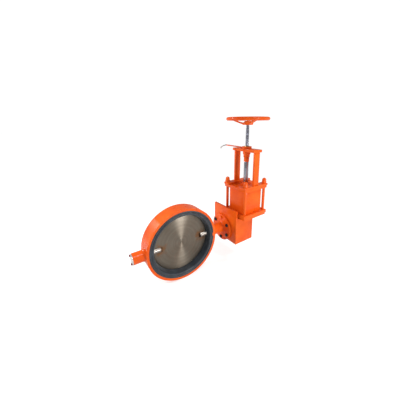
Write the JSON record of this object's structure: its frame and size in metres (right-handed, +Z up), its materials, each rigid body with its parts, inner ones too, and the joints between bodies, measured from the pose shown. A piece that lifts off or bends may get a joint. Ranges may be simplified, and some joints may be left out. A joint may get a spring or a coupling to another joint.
{
  "type": "wafer butterfly valve with air cylinder",
  "caption": "Wafer butterfly valve with a rubber-lined ring and turned disc, worked by a tie-rod air cylinder through a crank box, with a threaded stem and handwheel as manual override.",
  "frame": {"origin": "centre of the pipe, at the middle of the valve ring's width", "axes": "+X along the valve shaft towards the crank box, +Y along the pipe, +Z up along the cylinder and the stem"},
  "size_m": [0.7323, 0.2618, 0.7978],
  "materials": {
    "orange_paint": "gloss enamel",
    "liner_rubber": "moulded, slate blue-grey",
    "seal_rubber": "black",
    "disc_steel": "face-turned stainless",
    "shaft_steel": "ground",
    "stem_steel": "cut thread",
    "rod_chrome": "hard chrome",
    "zinc_steel": "zinc plated",
    "dark_bolt_steel": "black oxide",
    "crank_iron": "machined",
    "piston_aluminium": "turned",
    "bronze": "turned",
    "wear_plastic": "filled guide strip",
    "grey_plastic": "moulded ball"
  },
  "bodies": {
    "valve": {"valve_body": "orange_paint", "seat_liner": "liner_rubber", "stub_bush": "bronze", "drive_bush": "bronze", "shaft_packing": "seal_rubber", "end_cover": "zinc_steel", "end_cover_screws": "dark_bolt_steel", "flange_bolts": "dark_bolt_steel", "mounting_plate": "orange_paint", "housing_shell": "orange_paint", "housing_cover": "orange_paint", "housing_cover_screws": "dark_bolt_steel", "end_bearing": "orange_paint", "end_bearing_screws": "dark_bolt_steel", "end_bearing_bush": "bronze", "top_flange": "orange_paint", "lower_cover": "orange_paint", "lower_cover_screws": "dark_bolt_steel", "lower_rod_bush": "bronze", "rod_seals": "seal_rubber", "barrel": "orange_paint", "barrel_seals": "seal_rubber", "upper_cover": "orange_paint", "upper_rod_bush": "bronze", "gland_plate": "orange_paint", "gland_screws": "dark_bolt_steel", "tie_rods": "orange_paint", "tie_rod_nuts": "orange_paint", "side_bars": "orange_paint", "pillars": "orange_paint", "yoke_plate": "orange_paint", "nut_housing": "orange_paint", "stem_nut": "bronze"},
    "disc_shaft": {"disc": "disc_steel", "stub_shaft": "shaft_steel", "drive_shaft": "shaft_steel", "crank": "crank_iron", "crank_key": "shaft_steel", "crank_pin": "shaft_steel", "shaft_circlip": "dark_bolt_steel", "position_pointer": "zinc_steel", "pointer_screw": "dark_bolt_steel"},
    "piston_rod": {"piston_rod": "rod_chrome", "piston": "piston_aluminium", "piston_seals": "seal_rubber", "wear_ring": "wear_plastic", "piston_nut": "zinc_steel", "crosshead": "crank_iron", "crosshead_lock_nut": "zinc_steel", "stem_coupling": "orange_paint", "thrust_washers": "bronze"},
    "handwheel_stem": {"stem": "stem_steel", "stem_collar": "shaft_steel", "handwheel": "orange_paint", "wheel_washer": "zinc_steel", "wheel_nut": "zinc_steel"},
    "lock_lever": {"lock_nut": "orange_paint", "lock_lever": "orange_paint", "lever_tip": "grey_plastic"}
  },
  "joints": [
    {"name": "disc_turn", "type": "hinge", "parent": "valve", "child": "disc_shaft", "pos_m": [0, 0, 0], "axis": [1, 0, 0], "range_deg": [0, 90]},
    {"name": "rod_stroke", "type": "slide", "parent": "valve", "child": "piston_rod", "axis": [0, 0, -1], "range_m": [0, 0.0792]},
    {"name": "handwheel_turn", "type": "hinge", "parent": "piston_rod", "child": "handwheel_stem", "pos_m": [0.3727, -0.0728, 0.6], "axis": [0, 0, -1], "range_deg": [0, 7127.5]},
    {"name": "lock_lever_swing", "type": "hinge", "parent": "valve", "child": "lock_lever", "pos_m": [0.3727, -0.0728, 0.456], "axis": [0, 0, 1], "range_deg": [0, 60]}
  ],
  "couplings": [
    {"joint": "rod_stroke", "follows": "handwheel_turn", "m_per_rad": 0.00063662},
    {"joint": "disc_turn", "follows": "handwheel_turn", "ratio": 0.012627}
  ]
}
